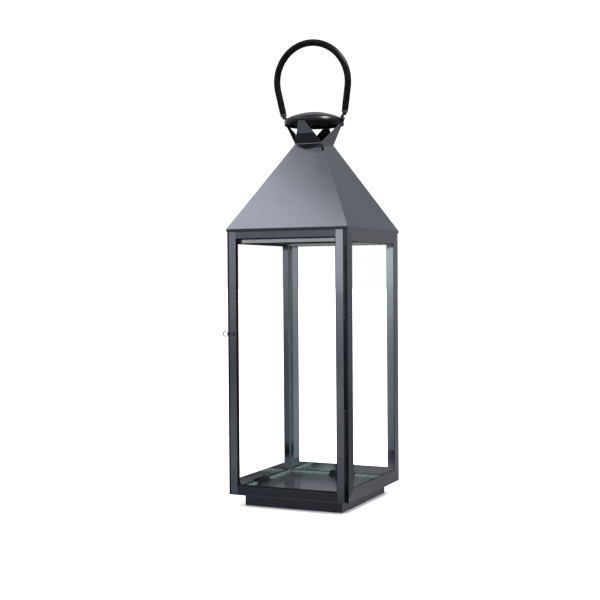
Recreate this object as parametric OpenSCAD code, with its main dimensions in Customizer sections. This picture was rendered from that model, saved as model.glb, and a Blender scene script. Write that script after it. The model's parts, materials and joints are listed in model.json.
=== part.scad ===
// Candle lantern: a square sheet-metal house with glass walls, a hinged glass door,
// a pyramid roof, a round chimney cap on four legs and a leather-covered bail handle.
// Origin: centre of the plinth's underside. The door faces -Y and its hinges are at +X.

/* [Body] */
// Width of the body over its corner posts
body_w = 172; // [160:1:200]
// Depth of the body over its corner posts
body_d = 188; // [170:1:220]
// Height of the eaves above the table
eaves_z = 369; // [330:1:420]
// Thickness of the sheet metal
sheet = 0.8; // [0.6:0.1:0.8]

/* [Plinth] */
// Height of the plinth
plinth_h = 16; // [8:1:30]
// Distance that the plinth is set in from the body
plinth_inset = 16; // [6:1:30]
// Thickness of the plinth's walls and of the base plate on it
plate_t = 1; // [1:0.1:1.5]

/* [Frame] */
// Width of the corner posts
post_w = 16.5; // [14:0.5:20]
// Height of the bottom rails
bottom_rail_h = 16.5; // [12:0.5:24]
// Height of the top rails
top_rail_h = 18; // [14:0.5:26]
// Width of the flanges that the rails turn inwards
flange_w = 10; // [6:0.5:11]

/* [Glass] */
// Thickness of the three fixed panes
glass_t = 2.5; // [2:0.1:2.5]
// Height that the panes run up behind the top rails
glass_lap = 3.8; // [2:0.1:6]
// Size of the clear sealant fillet at the foot of a pane
bead_w = 3.5; // [2:0.1:4]
// Length of the clip at the foot of a pane
clip_len = 38; // [20:1:50]

/* [Door] */
// Width of the door's two stiles
stile_w = 10; // [9:0.5:12]
// Height of the door's bottom rail
door_foot_h = 11; // [9:0.5:16]
// Height of the door's top rail
door_head_h = 9; // [7:0.5:12]
// Thickness of the door's pane
door_glass_t = 2.1; // [1.5:0.1:2.1]

/* [Hinges] */
// Length of one hinge
hinge_len = 93; // [60:1:100]
// Height of the lower hinge's foot
hinge_low_z = 42; // [34:1:60]
// Distance from the upper hinge's head down to the eaves
hinge_top_gap = 23; // [16:1:40]
// Diameter of the hinge pins
pin_d = 1.6; // [1.2:0.1:1.6]
// Outer diameter of the hinge barrels
barrel_d = 3; // [2.8:0.1:3]

/* [Latch] */
// Height of the latch
latch_z = 230; // [190:1:260]
// Outer diameter of the latch's pull ring
ring_d = 8; // [7:0.5:8]
// Thickness of the ring's wire
ring_wire = 1.4; // [1:0.1:1.6]

/* [Roof] */
// Distance that the eaves stand out past the body
overhang = 1; // [1:0.1:1.5]
// Depth of the turned-down lip at the eaves
lip_h = 3.5; // [2:0.1:3.7]
// Height of the roof's neck above the table
neck_z = 485; // [470:1:490]
// Width of the roof's neck
neck_w = 40.4; // [36:0.1:46]

/* [Chimney cap] */
// Diameter of the cap
cap_d = 81.2; // [76:0.2:82]
// Height of the cap's rim above the neck
cap_lift = 26.5; // [22:0.5:30]
// Height of the cap's straight rim
cap_rim_h = 5.5; // [5:0.1:6]
// Height of the cap's dome above the rim
cap_dome_h = 13; // [6:0.5:16]

/* [Handle] */
// Diameter of the leather-covered grip
grip_d = 9.5; // [8:0.1:9.5]
// Diameter of the steel rod in the grip
rod_d = 5; // [4:0.1:5]
// Radius of the bend over the top, along the rod's centre
bend_r = 52.6; // [50:0.1:56]
// Height of the bend's centre above the rivets
bend_rise = 51.4; // [48:0.1:70]
// Length along the rod at which the grip begins
grip_start = 16; // [14:0.5:20]
// Lean of the resting handle towards the door, in degrees
handle_lean = 7; // [-30:1:30]

/* [Hidden] */
$fn = 48;
eps = 0.01;
// body
hx = body_w / 2;
hy = body_d / 2;
frame_z = plinth_h + plate_t;
floor_z = frame_z + sheet;
floor_top = floor_z + sheet;
frame_top = eaves_z - sheet;
foot_top = frame_z + bottom_rail_h;
head_z = frame_top - top_rail_h;
seam = 0.05;
slip = 0.2;
// glass
pane_x = hx - sheet - glass_t;
pane_y = hy - sheet - glass_t;
pane_top = head_z + glass_lap;
side_pane_front = -(hy - 12);
pane_gap = 0.3;
clip_t = 0.6;
clip_h = 5.4;
clip_foot = 8;
bead_edge = 0.3;
// front opening: the door shuts against stop flanges on the front posts
stop_y = -(hy - 8);
stop_x = hx - 10.5;
hem_y = -(hy - 7);
hem_t = 1;
sill_h = 8;
rail_end = post_w + 1.5;
lintel_back = stop_y + sheet + flange_w;
flange_x = hx - sheet - flange_w - slip;
notch_drop = 0.7;
// door
door_left = -(hx - 2.5);
door_right = hx - 6;
door_z = frame_z + 0.4;
door_top = eaves_z - 3.9;
door_back = -(hy - 7.1);
door_lip = door_back - door_glass_t;
door_lap = 3;
door_clip_t = 0.5;
door_clip_h = 7;
door_clip_w = 11;
// hinges
hinge_x = hx - 3.9;
hinge_y = -(hy + 0.3);
hinge_high_z = eaves_z - hinge_top_gap - hinge_len;
leaf_t = 0.9;
leaf_side = 0.6;
window_side = 1;
window_deep = 1.3;
leaf_back = hinge_y + 6.8;
knuckles = 5;
knuckle_gap = 0.3;
knuckle_pitch = hinge_len / knuckles;
pin_clear = 0.05;
pin_head_t = 0.6;
// latch
latch_x = door_left + 5;
spindle_d = 2.4;
latch_y = -(hy + 1.1);
washer_t = 0.4;
washer_d = 5.5;
hub_d = 4.6;
ring_x = latch_x - 10.5;
tongue_y = stop_y + sheet + 0.3;
tongue_t = 1;
tongue_w = 4;
tongue_reach = 5.8;
notch_clear = 0.5;
// roof
eaves_x = hx + overhang;
eaves_y = hy + overhang;
neck = neck_w / 2;
roof_h = neck_z - eaves_z;
inset_x = sheet * sqrt(1 + pow((eaves_x - neck) / roof_h, 2));
inset_y = sheet * sqrt(1 + pow((eaves_y - neck) / roof_h, 2));
seat_w = 12;
// crown and cap
collar = neck - 1.2;
collar_drop = 11;
crown_z = neck_z + sheet;
leg_tip_w = 9;
leg_root = 0.7;
cap_r = cap_d / 2;
cap_z = neck_z + cap_lift;
cap_inner = cap_r - sheet;
cap_steps = 20;
rim_gap = 0.05;
// side legs end in upright tabs inside the rim, the front and rear legs lap the rim's outside
tab_x = sqrt(pow(cap_inner - 2 * rim_gap, 2) - pow(leg_tip_w / 2, 2));
tab_h = 4;
tab_lap = 0.5;
lap_h = 1.5;
rim_out = cap_r + rim_gap - neck;
rim_up = cap_z - crown_z;
side_lean = atan2(tab_x - neck, rim_up);
front_lean = atan2(rim_out, rim_up) + asin(sheet / norm([rim_out, rim_up]));
// ears
ear_r = cap_r + rim_gap;
ear_foot = 0.5;
pivot_z = cap_z + 7.5;
// handle
rivet_d = 3;
rivet_head_d = 6;
rivet_head_t = 1.4;
rivet_edge = 0.3;
rivet_inset = 0.1;
eye_x = ear_r + sheet + 0.35;
eye_t = 1.4;
eye_r = 4;
rod_x = eye_x + 2.2;
bend_z = pivot_z + bend_rise;
bend_dist = sqrt(rod_x * rod_x + bend_rise * bend_rise);
arm_len = sqrt(bend_dist * bend_dist - bend_r * bend_r);
arm_tilt = atan2(bend_rise, rod_x) - acos(bend_r / bend_dist);
rod_start = 4;
cone_start = 7;
joint_lap = 0.3;
hair = 0.01;
tang_w = 4.4;
tang_top = 6.5;
cone_edge = 0.3;
rod_fit = 0.02;

// ---- shared shapes ----

// A box between two corners
module block(low, high) {
    translate(low) cube(high - low);
}

// Sheet standing in the right wall's outer face, drawn as (Y, Z)
module right_wall(t = sheet) {
    translate([hx - t, 0, 0]) rotate([90, 0, 90]) linear_extrude(t) children();
}

// Sheet standing in the rear wall's outer face, drawn as (X, Z)
module rear_wall(t = sheet) {
    translate([0, hy, 0]) rotate([90, 0, 0]) linear_extrude(t) children();
}

// Right-hand piece, or its mirror image on the left
module on_side(left) {
    mirror([left ? 1 : 0, 0, 0]) children();
}

// Outline of a corner post whose outer edge is at +edge, cut to the mitres at both ends
module post_outline(edge) {
    polygon([
        [edge, frame_z],
        [edge, frame_top],
        [edge - post_w, head_z],
        [edge - post_w, foot_top]
    ]);
}

// Outline of a rail between two posts; foot is its long edge, rise its short edge
module rail_outline(edge, foot, rise) {
    long = edge - seam;
    short = edge - post_w - seam;
    end = edge - sheet - slip;
    intersection() {
        polygon([[-long, foot], [long, foot], [short, rise], [-short, rise]]);
        translate([-end, min(foot, rise)]) square([2 * end, abs(rise - foot)]);
    }
}

// ---- plinth and floor ----

module plinth() {
    px = hx - plinth_inset;
    py = hy - plinth_inset;
    color([0.20, 0.21, 0.24])
    difference() {
        block([-px, -py, 0], [px, py, plinth_h]);
        block([-px + plate_t, -py + plate_t, plate_t], [px - plate_t, py - plate_t, plinth_h + 1]);
    }
}

module base_plate() {
    color([0.22, 0.23, 0.27]) block([-hx, -hy, plinth_h], [hx, hy, frame_z]);
}

module floor_panel() {
    color([0.30, 0.31, 0.34])
    block([-pane_x + slip, stop_y + sheet + slip, floor_z], [pane_x - slip, pane_y - slip, floor_top]);
}

// ---- frame ----

module rear_post(left) {
    color([0.36, 0.37, 0.40])
    on_side(left) {
        right_wall() post_outline(hy);
        rear_wall() post_outline(hx);
    }
}

// A front post: its side flange, the hem folded behind it and the stop that the door shuts on
module front_post(left) {
    color([0.36, 0.37, 0.40])
    on_side(left)
    difference() {
        union() {
            mirror([0, 1, 0]) right_wall() post_outline(hy);
            block([hx - sheet - hem_t, -hy, frame_z], [hx - sheet, hem_y, frame_top]);
            block([stop_x, stop_y, frame_z], [hx - sheet, stop_y + sheet, frame_top]);
        }
        if (left) latch_notch();
    }
}

// Way through the stop for the latch's tongue once it is turned down, drawn on the right
module latch_notch() {
    half = tongue_w / 2 + notch_clear;
    block(
        [-latch_x - half - notch_clear, stop_y - 1, latch_z - tongue_reach - notch_drop],
        [-latch_x + half, stop_y + sheet + 1, latch_z + half + slip]
    );
}

module bottom_rail_side(left) {
    color([0.30, 0.31, 0.34])
    on_side(left) {
        right_wall() rail_outline(hy, frame_z, foot_top);
        block([hx - sheet - flange_w, -hy + rail_end, frame_z], [hx - sheet + eps, hy - rail_end, floor_z]);
    }
}

module bottom_rail_rear() {
    color([0.30, 0.31, 0.34]) {
        rear_wall() rail_outline(hx, frame_z, foot_top);
        block([-hx + rail_end, hy - sheet - flange_w, frame_z], [hx - rail_end, hy - sheet + eps, floor_z]);
    }
}

module front_sill() {
    color([0.30, 0.31, 0.34]) {
        block([-stop_x + slip, stop_y, frame_z], [stop_x - slip, stop_y + sheet, frame_z + sill_h]);
        block([-hx + rail_end, stop_y, frame_z], [hx - rail_end, stop_y + sheet + flange_w, floor_z]);
    }
}

module top_rail_side(left) {
    color([0.42, 0.43, 0.46])
    on_side(left) {
        right_wall() rail_outline(hy, frame_top, head_z);
        block(
            [hx - sheet - flange_w, lintel_back + slip, frame_top - sheet],
            [hx - sheet + eps, -lintel_back - slip, frame_top]
        );
    }
}

module top_rail_rear() {
    color([0.42, 0.43, 0.46]) {
        rear_wall() rail_outline(hx, frame_top, head_z);
        block([-flange_x, hy - sheet - flange_w, frame_top - sheet], [flange_x, hy - sheet + eps, frame_top]);
    }
}

// The strip over the door, behind the stops
module front_lintel() {
    back = stop_y + sheet;
    half = hx - sheet - pane_gap;
    color([0.62, 0.63, 0.65]) {
        block([-half, back, head_z], [half, back + sheet, frame_top]);
        block([-flange_x, back, frame_top - sheet], [flange_x, lintel_back, frame_top]);
    }
}

// ---- fixed glass ----

module pane_side(left) {
    color([0.80, 0.88, 0.86, 0.35])
    on_side(left)
    block([pane_x, side_pane_front, floor_z], [hx - sheet, hy - sheet - slip, pane_top]);
}

module pane_rear() {
    half = pane_x - pane_gap;
    color([0.80, 0.88, 0.86, 0.35])
    block([-half, pane_y, floor_z], [half, hy - sheet, pane_top]);
}

// Sealant fillet on the floor along X from x0 to x1, against a pane whose inner face is at Y = 0
module bead(x0, x1) {
    translate([x0, 0, floor_top]) rotate([90, 0, 90]) linear_extrude(x1 - x0)
    difference() {
        translate([-bead_w, 0]) square(bead_w);
        translate([-bead_w, bead_w]) circle(r = bead_w - bead_edge);
    }
}

// The two lengths of bead on both sides of a pane's clip
module bead_pair(x0, x1, middle) {
    bead(x0, middle - clip_len / 2 - 1);
    bead(middle + clip_len / 2 + 1, x1);
}

module bead_side(left) {
    color([0.62, 0.70, 0.68, 0.7])
    on_side(left)
    translate([pane_x, 0, 0]) rotate([0, 0, -90])
    bead_pair(-pane_y, -side_pane_front, 0);
}

module bead_rear() {
    color([0.62, 0.70, 0.68, 0.7])
    translate([0, pane_y, 0]) bead_pair(-pane_x + bead_w, pane_x - bead_w, 0);
}

// Angle clip at the foot of a pane whose inner face is at Y = 0
module pane_clip() {
    half = clip_len / 2;
    color([0.06, 0.06, 0.07]) {
        block([-half, -clip_t, floor_top], [half, 0, floor_top + clip_h]);
        block([-half, -clip_foot, floor_top], [half, 0, floor_top + clip_t]);
    }
}

module pane_clip_side(left) {
    on_side(left) translate([pane_x, 0, 0]) rotate([0, 0, -90]) pane_clip();
}

module pane_clip_rear() {
    translate([0, pane_y, 0]) pane_clip();
}

// ---- door ----

// Section of the door's channel as (distance from the outer edge, Y)
module channel(width) {
    translate([0, -hy]) square([width, sheet]);
    translate([0, -hy]) square([sheet, door_back + hy]);
    translate([width - sheet, -hy]) square([sheet, door_lip + hy]);
}

module door_latch_stile() {
    color([0.40, 0.41, 0.44])
    difference() {
        translate([door_left, 0, door_z]) linear_extrude(door_top - door_z) channel(stile_w);
        translate([latch_x, -hy - 1, latch_z]) rotate([-90, 0, 0])
        cylinder(d = spindle_d + 2 * pin_clear, h = 3);
    }
}

module door_hinge_stile() {
    color([0.40, 0.41, 0.44])
    translate([door_right, 0, door_z]) mirror([1, 0, 0]) linear_extrude(door_top - door_z)
    channel(stile_w);
}

// Door rail between the stiles, its outer edge at height z
module door_rail(z, width, upside_down) {
    translate([door_left + stile_w, 0, z]) mirror([0, 0, upside_down ? 1 : 0])
    multmatrix([[0, 0, 1, 0], [0, 1, 0, 0], [1, 0, 0, 0], [0, 0, 0, 1]])
    linear_extrude(door_right - door_left - 2 * stile_w) channel(width);
}

module door_bottom_rail() {
    color([0.24, 0.25, 0.30]) door_rail(door_z, door_foot_h, false);
}

module door_top_rail() {
    color([0.48, 0.49, 0.52]) door_rail(door_top, door_head_h, true);
}

module door_pane() {
    side = stile_w - door_lap;
    color([0.80, 0.88, 0.86, 0.35])
    block(
        [door_left + side, door_lip, door_z + door_foot_h - door_lap],
        [door_right - side, door_back, door_top - door_head_h + door_lap]
    );
}

// Four flat clips that hold the pane in the door's corners from behind
module door_glass_clips() {
    middle = (door_left + door_right) / 2;
    outer = (door_right - door_left) / 2 - slip;
    low = door_z + door_foot_h - door_clip_h / 2;
    high = door_top - door_head_h - door_clip_h + 1;
    color([0.08, 0.08, 0.09])
    for (side = [0, 1], z = [low, high])
        translate([middle, 0, 0]) mirror([side, 0, 0])
        block([outer - door_clip_w, door_back, z], [outer, door_back + door_clip_t, z + door_clip_h]);
}

// ---- hinges ----

// One hinge leaf: its plate and its knuckles; turned is 0 for the door's leaf, 1 for the post's
module hinge_leaf(z, turned) {
    side = turned == 1 ? 1 : -1;
    plate_x = hinge_x + side * (barrel_d / 2 + leaf_side);
    inner_x = plate_x - side * leaf_t;
    color([0.52, 0.53, 0.56])
    translate([0, 0, z])
    difference() {
        union() {
            block([min(plate_x, inner_x), hinge_y, 0], [max(plate_x, inner_x), leaf_back, hinge_len]);
            for (i = [0 : knuckles - 1])
                if (i % 2 != turned) knuckle(i, barrel_d / 2);
        }
        for (i = [0 : knuckles - 1])
            if (i % 2 == turned) knuckle_window(i);
        translate([hinge_x, hinge_y, -1]) cylinder(d = pin_d + 2 * pin_clear, h = hinge_len + 2);
    }
}

module knuckle(i, radius) {
    translate([hinge_x, hinge_y, i * knuckle_pitch + knuckle_gap / 2])
    cylinder(r = radius, h = knuckle_pitch - knuckle_gap);
}

// Room in a leaf's plate for the other leaf's knuckle
module knuckle_window(i) {
    half = barrel_d / 2 + window_side;
    translate([hinge_x - half, hinge_y - 1, i * knuckle_pitch])
    cube([2 * half, barrel_d / 2 + window_deep, knuckle_pitch]);
}

module hinge_pin(z) {
    color([0.75, 0.76, 0.78])
    translate([hinge_x, hinge_y, z]) {
        cylinder(d = pin_d, h = hinge_len);
        translate([0, 0, hinge_len]) cylinder(d = barrel_d - 0.4, h = pin_head_t);
        translate([0, 0, -pin_head_t]) cylinder(d = barrel_d - 0.4, h = pin_head_t);
    }
}

// ---- latch ----

module along_y(y, x = latch_x, z = latch_z) {
    translate([x, y, z]) rotate([-90, 0, 0]) children();
}

module latch_washer() {
    color([0.70, 0.71, 0.73])
    along_y(-hy - washer_t)
    difference() {
        cylinder(d = washer_d, h = washer_t);
        translate([0, 0, -1]) cylinder(d = spindle_d + 2 * pin_clear, h = 3);
    }
}

module latch_spindle() {
    front = latch_y - ring_wire / 2;
    color([0.70, 0.71, 0.73])
    along_y(front) cylinder(d = spindle_d, h = tongue_y + tongue_t - front);
}

// The pull: a hub on the spindle, a short arm and a closed ring past the door's edge
module latch_ring() {
    ring_r = (ring_d - ring_wire) / 2;
    color([0.45, 0.46, 0.49])
    difference() {
        union() {
            along_y(latch_y - ring_wire / 2) cylinder(d = hub_d, h = ring_wire);
            translate([ring_x + ring_r, latch_y, latch_z]) rotate([0, 90, 0])
            cylinder(d = ring_wire, h = latch_x - ring_x - ring_r);
            along_y(latch_y, ring_x) rotate_extrude() translate([ring_r, 0]) circle(d = ring_wire);
        }
        along_y(latch_y - 2) cylinder(d = spindle_d, h = 4);
    }
}

module latch_tongue() {
    color([0.30, 0.31, 0.33])
    difference() {
        block(
            [latch_x - tongue_reach, tongue_y, latch_z - tongue_w / 2],
            [latch_x + tongue_w / 2, tongue_y + tongue_t, latch_z + tongue_w / 2]
        );
        along_y(tongue_y - 1) cylinder(d = spindle_d, h = tongue_t + 2);
    }
}

// ---- roof ----

// Sloping sheet between the eaves and the neck on the side at -Y, mitred to its neighbours
module roof_slope(ex, ey, ix, iy) {
    polyhedron(
        points = [
            [-ex, -ey, eaves_z], [ex, -ey, eaves_z],
            [neck, -neck, neck_z], [-neck, -neck, neck_z],
            [-ex + ix, -ey + iy, eaves_z], [ex - ix, -ey + iy, eaves_z],
            [neck - ix, -neck + iy, neck_z], [-neck + ix, -neck + iy, neck_z]
        ],
        faces = [
            [3, 2, 1, 0], [4, 5, 6, 7], [0, 1, 5, 4],
            [2, 3, 7, 6], [1, 2, 6, 5], [3, 0, 4, 7]
        ]
    );
}

// Lip turned down at the eaves and seat flange turned in on the frame, on the side at -Y
module roof_edge(ex, ey, reach) {
    block([-reach, -ey, eaves_z - lip_h], [reach, -ey + sheet, eaves_z + eps]);
    translate([0, 0, eaves_z - sheet]) linear_extrude(sheet + eps)
    intersection() {
        polygon([[-ex, -ey], [ex, -ey], [ex - seat_w, -ey + seat_w], [-ex + seat_w, -ey + seat_w]]);
        translate([-reach, -ey]) square([2 * reach, seat_w]);
    }
}

// Panel over the door, or over the rear wall
module roof_end(rear) {
    color(rear ? [0.40, 0.41, 0.44] : [0.60, 0.61, 0.65])
    mirror([0, rear ? 1 : 0, 0]) {
        roof_slope(eaves_x, eaves_y, inset_x, inset_y);
        roof_edge(eaves_x, eaves_y, eaves_x);
    }
}

// Panel over the right wall, or over the left wall
module roof_flank(left) {
    color([0.38, 0.39, 0.42])
    on_side(left) rotate([0, 0, 90]) {
        roof_slope(eaves_y, eaves_x, inset_y, inset_x);
        roof_edge(eaves_y, eaves_x, eaves_y - sheet);
    }
}

// ---- crown and chimney cap ----

// Tapered leg that leans out along +X from the neck until its outer face is as high as top
module crown_leg(lean, top) {
    length = (top - crown_z) / cos(lean);
    translate([neck, 0, crown_z]) rotate([0, lean, 0]) translate([-sheet, 0, 0])
    rotate([90, 0, 90]) linear_extrude(sheet)
    polygon([
        [-neck, -leg_root], [neck, -leg_root],
        [leg_tip_w / 2, length], [-leg_tip_w / 2, length]
    ]);
}

module vent_crown() {
    inner = collar - sheet;
    half = leg_tip_w / 2;
    color([0.46, 0.47, 0.50]) {
        difference() {
            union() {
                block([-collar, -collar, neck_z - collar_drop], [collar, collar, neck_z + eps]);
                block([-neck, -neck, neck_z], [neck, neck, crown_z]);
            }
            block([-inner, -inner, neck_z - collar_drop - 1], [inner, inner, crown_z + 1]);
        }
        for (turn = [90, 270]) rotate([0, 0, turn]) crown_leg(front_lean, cap_z + lap_h);
        for (turn = [0, 180]) rotate([0, 0, turn]) {
            crown_leg(side_lean, cap_z);
            block([tab_x - sheet, -half, cap_z - tab_lap], [tab_x, half, cap_z + tab_h]);
        }
    }
}

// Height of a dome of radius r and rise h at distance x from its axis
function dome(x, r, h) = h * pow(1 - pow(x / r, 1.45), 0.6);

// Points on the dome from its axis to its edge, closer towards the edge, where it bends most
function dome_line(r, h) = [
    for (i = [0 : cap_steps])
        let (x = r * sin(90 * i / cap_steps)) [x, cap_z + cap_rim_h + dome(x, r, h)]
];

module chimney_cap() {
    outer = dome_line(cap_r, cap_dome_h);
    inner = dome_line(cap_inner, cap_dome_h - sheet);
    color([0.10, 0.10, 0.12])
    rotate_extrude($fn = 96)
    polygon(concat(outer, [[cap_r, cap_z], [cap_inner, cap_z]], [for (i = [cap_steps : -1 : 0]) inner[i]]));
}

// Two ears bent to the cap's rim, each with the hole for a rivet
module handle_ears() {
    foot = cap_z + ear_foot;
    half = leg_tip_w / 2;
    color([0.45, 0.46, 0.49])
    for (turn = [0, 180]) rotate([0, 0, turn])
    difference() {
        intersection() {
            translate([0, 0, foot]) cylinder(r = ear_r + sheet, h = 2 * tab_h + leg_tip_w, $fn = 96);
            union() {
                block([0, -half, foot], [cap_d, half, pivot_z]);
                translate([0, 0, pivot_z]) rotate([0, 90, 0]) cylinder(r = half, h = cap_d);
            }
        }
        translate([0, 0, cap_z - 1]) cylinder(r = ear_r, h = 4 * leg_tip_w, $fn = 96);
        translate([0, 0, pivot_z]) rotate([0, 90, 0]) cylinder(d = rivet_d, h = cap_d);
    }
}

// ---- handle ----

module handle_rivets() {
    shank_start = ear_r + rivet_inset;
    head_x = eye_x + eye_t + slip;
    color([0.80, 0.81, 0.83])
    for (turn = [0, 180]) rotate([0, 0, turn])
    translate([0, 0, pivot_z]) rotate([0, 90, 0]) {
        translate([0, 0, shank_start]) cylinder(d = rivet_d, h = head_x - shank_start);
        translate([0, 0, head_x]) rivet_head();
    }
}

// Low domed head on a short rim
module rivet_head() {
    rise = rivet_head_t - rivet_edge;
    ball = (pow(rivet_head_d / 2, 2) + rise * rise) / (2 * rise);
    cylinder(d = rivet_head_d, h = rivet_edge);
    intersection() {
        translate([0, 0, rivet_edge + rise - ball]) sphere(ball);
        cylinder(d = rivet_head_d, h = rivet_head_t + 1);
    }
}

// Turns the upright handle about its rivets to the lean at which it rests
module at_rest() {
    translate([0, 0, pivot_z]) rotate([handle_lean, 0, 0]) translate([0, 0, -pivot_z]) children();
}

// Places a shape that is drawn upwards from the right rivet along the handle's arm
module along_arm() {
    translate([rod_x, 0, pivot_z]) rotate([0, arm_tilt, 0]) children();
}

module ring_section(radius, hole) {
    difference() {
        circle(radius);
        if (hole > 0) circle(hole);
    }
}

// A rod or tube that follows the handle from start on one arm, over the bend, to the other.
// The arms run a little way into the bend and are a hair slimmer than it.
module bail(radius, start, hole = 0) {
    for (side = [0, 1]) mirror([side, 0, 0])
    along_arm() translate([0, 0, start])
    linear_extrude(arm_len - start + joint_lap) ring_section(radius - hair, hole > 0 ? hole + hair : 0);
    translate([0, 0, bend_z]) rotate([90, 0, 0]) rotate([0, 0, -arm_tilt])
    rotate_extrude(angle = 180 + 2 * arm_tilt, $fn = 96) translate([bend_r, 0]) ring_section(radius, hole);
}

// Flattened end of the rod with the bore for the rivet
module handle_eye() {
    translate([eye_x, 0, pivot_z]) {
        rotate([0, 90, 0]) difference() {
            cylinder(r = eye_r, h = eye_t);
            translate([0, 0, -1]) cylinder(d = rivet_d + 2 * pin_clear, h = eye_t + 2);
        }
        block([0, -tang_w / 2, rivet_d], [eye_t, tang_w / 2, tang_top]);
    }
}

module handle_rod() {
    color([0.45, 0.46, 0.49])
    at_rest() {
        bail(rod_d / 2, rod_start);
        for (side = [0, 1]) mirror([side, 0, 0]) handle_eye();
    }
}

// Bound ends of the grip, tapering down to the rod
module handle_ferrules() {
    color([0.10, 0.10, 0.11])
    at_rest()
    for (side = [0, 1]) mirror([side, 0, 0])
    along_arm() translate([0, 0, cone_start])
    difference() {
        cylinder(r1 = rod_d / 2 + cone_edge, r2 = grip_d / 2, h = grip_start - cone_start);
        translate([0, 0, -1]) cylinder(r = rod_d / 2 + rod_fit, h = grip_start);
    }
}

module handle_grip() {
    color([0.07, 0.07, 0.08]) at_rest() bail(grip_d / 2, grip_start, rod_d / 2 + rod_fit);
}

// ---- the parts ----

plinth();
base_plate();
floor_panel();
front_post(true);  // post_front_left
front_post(false);  // post_front_right
rear_post(true);  // post_rear_left
rear_post(false);  // post_rear_right
bottom_rail_side(true);  // bottom_rail_left
bottom_rail_side(false);  // bottom_rail_right
bottom_rail_rear();
front_sill();
top_rail_side(true);  // top_rail_left
top_rail_side(false);  // top_rail_right
top_rail_rear();
front_lintel();
pane_side(true);  // pane_left
pane_side(false);  // pane_right
pane_rear();
bead_side(true);  // bead_left
bead_side(false);  // bead_right
bead_rear();
pane_clip_side(true);  // pane_clip_left
pane_clip_side(false);  // pane_clip_right
pane_clip_rear();
door_latch_stile();
door_hinge_stile();
door_bottom_rail();
door_top_rail();
door_pane();
door_glass_clips();
hinge_leaf(hinge_low_z, 1);  // hinge_post_leaf_lower
hinge_leaf(hinge_high_z, 1);  // hinge_post_leaf_upper
hinge_leaf(hinge_low_z, 0);  // hinge_door_leaf_lower
hinge_leaf(hinge_high_z, 0);  // hinge_door_leaf_upper
hinge_pin(hinge_low_z);  // hinge_pin_lower
hinge_pin(hinge_high_z);  // hinge_pin_upper
latch_washer();
latch_spindle();
latch_ring();
latch_tongue();
roof_end(false);  // roof_front
roof_flank(false);  // roof_right
roof_end(true);  // roof_rear
roof_flank(true);  // roof_left
vent_crown();
chimney_cap();
handle_ears();
handle_rivets();
handle_rod();
handle_ferrules();
handle_grip();
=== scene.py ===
import json
import math

import bmesh
import bpy
from mathutils import Matrix, Vector


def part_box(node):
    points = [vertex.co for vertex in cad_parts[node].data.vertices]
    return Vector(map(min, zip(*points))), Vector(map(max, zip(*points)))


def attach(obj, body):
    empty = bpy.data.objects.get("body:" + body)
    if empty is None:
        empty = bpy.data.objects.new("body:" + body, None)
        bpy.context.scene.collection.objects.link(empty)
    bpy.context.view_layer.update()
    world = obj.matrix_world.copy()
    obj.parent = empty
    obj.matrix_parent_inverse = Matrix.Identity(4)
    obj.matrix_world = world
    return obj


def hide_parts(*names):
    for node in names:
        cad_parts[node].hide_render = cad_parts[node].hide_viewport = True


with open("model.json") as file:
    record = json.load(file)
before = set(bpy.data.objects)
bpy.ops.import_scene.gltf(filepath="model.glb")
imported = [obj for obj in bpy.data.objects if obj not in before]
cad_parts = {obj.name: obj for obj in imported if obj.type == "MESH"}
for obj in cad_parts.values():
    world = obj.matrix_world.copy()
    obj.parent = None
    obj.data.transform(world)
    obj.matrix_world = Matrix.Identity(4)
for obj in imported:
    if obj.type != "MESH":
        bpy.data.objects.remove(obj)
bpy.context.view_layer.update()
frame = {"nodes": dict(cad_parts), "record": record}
nodes = frame["nodes"]
MM = 0.001

# The body's sheet sizes, as the frame has them: half widths over the posts, a post's width, and the
# heights at which the glazed openings start and end.
HALF_X = 86.0 * MM
HALF_Y = 94.0 * MM
SHEET = 0.8 * MM
POST_W = 16.5 * MM
POST_EDGE = HALF_X - POST_W
FOOT_TOP = 33.5 * MM
HEAD = 350.2 * MM


# ---- camera, light and floor ----

CAMERA_PLACE = (0.64757, -1.46480, 0.30298)
CAMERA_TURN = 24.609
CAMERA_PITCH = -1.058
CAMERA_ROLL = -0.417
LENS = 70.115


def place_camera():
    data = bpy.data.cameras.new("camera")
    data.sensor_width = 36.0
    data.lens = LENS
    data.clip_start = 0.05
    camera = bpy.data.objects.new("camera", data)
    bpy.context.scene.collection.objects.link(camera)
    turn = Matrix.Rotation(math.radians(CAMERA_TURN), 4, "Z")
    pitch = Matrix.Rotation(math.radians(90 + CAMERA_PITCH), 4, "X")
    roll = Matrix.Rotation(math.radians(CAMERA_ROLL), 4, "Z")
    camera.matrix_world = Matrix.Translation(CAMERA_PLACE) @ turn @ pitch @ roll
    bpy.context.scene.camera = camera


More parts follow.
